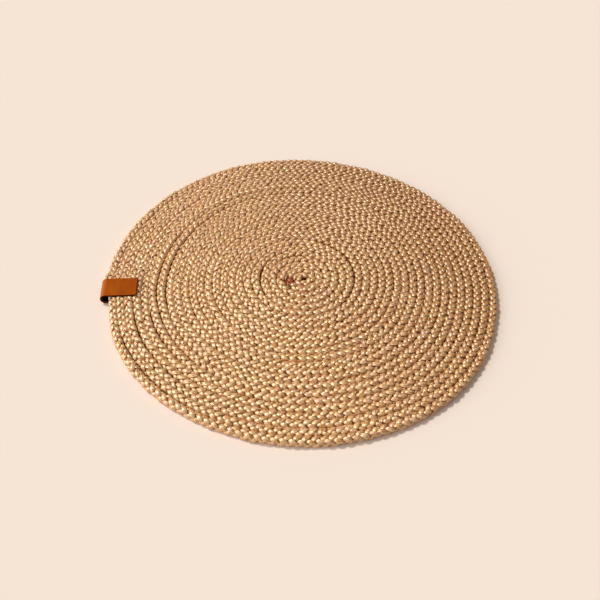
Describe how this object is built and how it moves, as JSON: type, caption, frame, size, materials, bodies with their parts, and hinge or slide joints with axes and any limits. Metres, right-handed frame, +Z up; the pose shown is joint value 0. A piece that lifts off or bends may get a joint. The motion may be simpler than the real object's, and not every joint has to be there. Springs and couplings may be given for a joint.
{
  "type": "round coiled braided-cord placemat with a folded leather tab",
  "caption": "Flat round placemat: a braided cord coiled from the middle outwards and sewn turn to turn, with a small leather tab folded over the rim.",
  "frame": {"origin": "middle of the coil, on the surface that the mat lies on", "axes": "+Z up out of the mat's face; the leather tab sticks out over the rim on the -X side"},
  "size_m": [0.323, 0.319, 0.0094],
  "materials": {
    "cord": "shiny tan yarn, braided",
    "leather": "smooth tan leather, dark on the flesh side"
  },
  "bodies": {
    "root": {"coiled_mat": "cord", "leather_tab": "leather"}
  },
  "joints": []
}
